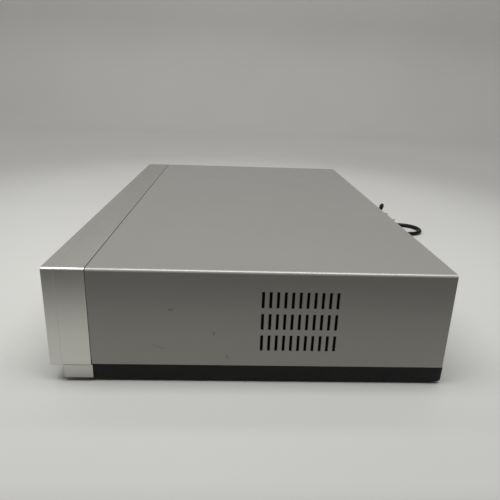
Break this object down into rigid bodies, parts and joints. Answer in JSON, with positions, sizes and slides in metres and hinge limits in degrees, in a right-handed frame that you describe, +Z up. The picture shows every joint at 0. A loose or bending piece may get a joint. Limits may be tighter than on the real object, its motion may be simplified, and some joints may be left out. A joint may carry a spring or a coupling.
{
  "type": "dvd vcr combo player",
  "caption": "Silver disc and video cassette player: sheet cover with side vents, front with disc tray, cassette door and keys, rear sockets, mains cord, working drives inside.",
  "frame": {"origin": "middle of the footprint, on the floor (without the free mains cord)", "axes": "+X to the right of someone who faces the front, -Y out of the front, +Z up"},
  "size_m": [0.4994, 0.4057, 0.084],
  "materials": {
    "cover": "satin silver paint",
    "panel": "satin silver",
    "bezel": "satin silver",
    "chassis": "black paint",
    "rear": "dark grey paint",
    "foot": "matte",
    "screw": "dark zinc",
    "window": "smoked",
    "display": "dark green",
    "board": "solder mask",
    "jack": "plated",
    "tan_board": "laminate",
    "core": "laminated",
    "alu": "plain",
    "tin": "tinned",
    "black": "black",
    "cord": "black sheath",
    "gear": "natural",
    "steel": "zinc plated",
    "rubber": "matte",
    "drum": "polished",
    "key": "silver"
  },
  "bodies": {
    "case": {"top_cover": "cover", "front_panel": "panel", "front_bezel": "bezel", "bottom_chassis": "chassis", "rear_panel": "rear", "feet": "foot", "screws": "screw", "display_window": "window", "display_module": "display", "key_board": "board", "front_jacks": "jack", "main_board": "board", "power_board": "tan_board", "transformer": "core", "heat_sink": "alu", "tuner": "tin", "rear_jacks": "black", "strain_relief": "cord", "power_cord": "cord", "cord_coil": "cord", "mains_plug": "cord", "loader_frame": "black", "clamp_bridge": "steel", "loader_motor": "steel", "drive_belt": "rubber", "deck_plate": "steel", "drum_base": "drum", "capstan_motor": "board", "tape_heads": "steel", "carrier_rails": "steel"},
    "tray": {"disc_tray": "black", "tray_fascia": "bezel"},
    "loader_gear": {"tray_gear": "gear"},
    "clamp": {"clamp_disc": "black"},
    "traverse": {"traverse_frame": "black", "spindle_motor": "steel"},
    "platter": {"turntable": "black"},
    "sled": {"pickup": "black"},
    "feed_screw": {"lead_screw": "steel"},
    "drum": {"drum_head": "drum"},
    "capstan": {"capstan_flywheel": "steel"},
    "pinch_arm": {"pinch_lever": "steel"},
    "roller": {"pinch_roller": "rubber"},
    "supply_hub": {"supply_reel": "gear"},
    "takeup_hub": {"takeup_reel": "gear"},
    "supply_guide": {"supply_post": "steel"},
    "takeup_guide": {"takeup_post": "steel"},
    "carrier": {"cassette_carrier": "steel"},
    "door": {"cassette_door": "bezel"},
    "power_button": {"power_key": "key"},
    "open_button": {"open_key": "key"},
    "channel_up_button": {"channel_up_key": "key"},
    "channel_down_button": {"channel_down_key": "key"},
    "source_button": {"source_key": "key"},
    "eject_button": {"eject_key": "key"},
    "rewind_button": {"rewind_key": "key"},
    "stop_button": {"stop_key": "key"},
    "play_button": {"play_key": "key"},
    "forward_button": {"forward_key": "key"},
    "record_button": {"record_key": "key"}
  },
  "joints": [
    {"name": "tray_slide", "type": "slide", "parent": "case", "child": "tray", "axis": [0, -1, 0], "range_m": [0, 0.135]},
    {"name": "loader_gear_turn", "type": "hinge", "parent": "case", "child": "loader_gear", "pos_m": [-0.089, -0.1045, 0.06], "axis": [0, 0, -1], "range_deg": [-2, 790]},
    {"name": "clamp_spin", "type": "hinge", "parent": "case", "child": "clamp", "pos_m": [-0.131, -0.0685, 0.07], "axis": [0, 0, 1], "continuous": true},
    {"name": "traverse_tilt", "type": "hinge", "parent": "case", "child": "traverse", "pos_m": [-0.131, 0.0165, 0.048], "axis": [1, 0, 0], "range_deg": [0, 5]},
    {"name": "platter_spin", "type": "hinge", "parent": "traverse", "child": "platter", "pos_m": [-0.131, -0.0685, 0.06], "axis": [0, 0, 1], "continuous": true},
    {"name": "sled_slide", "type": "slide", "parent": "traverse", "child": "sled", "axis": [0, 1, 0], "range_m": [0, 0.034]},
    {"name": "feed_screw_turn", "type": "hinge", "parent": "traverse", "child": "feed_screw", "pos_m": [-0.167, -0.0685, 0.0525], "axis": [0, 1, 0], "range_deg": [-10, 4100]},
    {"name": "drum_spin", "type": "hinge", "parent": "case", "child": "drum", "pos_m": [0.106, 0.0555, 0.032], "axis": [0, -0.0872, 0.9962], "continuous": true},
    {"name": "capstan_spin", "type": "hinge", "parent": "case", "child": "capstan", "pos_m": [0.162, 0.0295, 0.027], "axis": [0, 0, 1], "continuous": true},
    {"name": "pinch_swing", "type": "hinge", "parent": "case", "child": "pinch_arm", "pos_m": [0.186, 0.0535, 0.027], "axis": [0, 0, -1], "range_deg": [0, 24], "stiffness_Nm_per_rad": 0.05},
    {"name": "roller_spin", "type": "hinge", "parent": "pinch_arm", "child": "roller", "pos_m": [0.18256, 0.02551, 0.037], "axis": [0, 0, 1], "continuous": true},
    {"name": "supply_reel_spin", "type": "hinge", "parent": "case", "child": "supply_hub", "pos_m": [0.06, -0.0365, 0.027], "axis": [0, 0, 1], "continuous": true},
    {"name": "takeup_reel_spin", "type": "hinge", "parent": "case", "child": "takeup_hub", "pos_m": [0.152, -0.0365, 0.027], "axis": [0, 0, 1], "continuous": true},
    {"name": "supply_guide_swing", "type": "hinge", "parent": "case", "child": "supply_guide", "pos_m": [0.106, 0.0555, 0.027], "axis": [0, 0, -1], "range_deg": [0, 65]},
    {"name": "takeup_guide_swing", "type": "hinge", "parent": "case", "child": "takeup_guide", "pos_m": [0.106, 0.0555, 0.027], "axis": [0, 0, -1], "range_deg": [-65, 0]},
    {"name": "carrier_slide", "type": "slide", "parent": "case", "child": "carrier", "axis": [0, 1, 0], "range_m": [0, 0.032]},
    {"name": "door_swing", "type": "hinge", "parent": "case", "child": "door", "pos_m": [0.106, -0.1369, 0.075], "axis": [1, 0, 0], "range_deg": [0, 80], "stiffness_Nm_per_rad": 0.02, "springref_deg": -28.65},
    {"name": "power_key_press", "type": "slide", "parent": "case", "child": "power_button", "axis": [0, 1, 0], "range_m": [0, 0.0012], "stiffness_N_per_m": 300},
    {"name": "open_key_press", "type": "slide", "parent": "case", "child": "open_button", "axis": [0, 1, 0], "range_m": [0, 0.0012], "stiffness_N_per_m": 300},
    {"name": "channel_up_key_press", "type": "slide", "parent": "case", "child": "channel_up_button", "axis": [0, 1, 0], "range_m": [0, 0.0012], "stiffness_N_per_m": 300},
    {"name": "channel_down_key_press", "type": "slide", "parent": "case", "child": "channel_down_button", "axis": [0, 1, 0], "range_m": [0, 0.0012], "stiffness_N_per_m": 300},
    {"name": "source_key_press", "type": "slide", "parent": "case", "child": "source_button", "axis": [0, 1, 0], "range_m": [0, 0.0012], "stiffness_N_per_m": 300},
    {"name": "eject_key_press", "type": "slide", "parent": "case", "child": "eject_button", "axis": [0, 1, 0], "range_m": [0, 0.0012], "stiffness_N_per_m": 300},
    {"name": "rewind_key_press", "type": "slide", "parent": "case", "child": "rewind_button", "axis": [0, 1, 0], "range_m": [0, 0.0012], "stiffness_N_per_m": 300},
    {"name": "stop_key_press", "type": "slide", "parent": "case", "child": "stop_button", "axis": [0, 1, 0], "range_m": [0, 0.0012], "stiffness_N_per_m": 300},
    {"name": "play_key_press", "type": "slide", "parent": "case", "child": "play_button", "axis": [0, 1, 0], "range_m": [0, 0.0012], "stiffness_N_per_m": 300},
    {"name": "forward_key_press", "type": "slide", "parent": "case", "child": "forward_button", "axis": [0, 1, 0], "range_m": [0, 0.0012], "stiffness_N_per_m": 300},
    {"name": "record_key_press", "type": "slide", "parent": "case", "child": "record_button", "axis": [0, 1, 0], "range_m": [0, 0.0012], "stiffness_N_per_m": 300}
  ],
  "couplings": [
    {"joint": "loader_gear_turn", "follows": "tray_slide", "rad_per_m": 100},
    {"joint": "feed_screw_turn", "follows": "sled_slide", "rad_per_m": 2094.4},
    {"joint": "takeup_guide_swing", "follows": "supply_guide_swing", "ratio": -1}
  ]
}
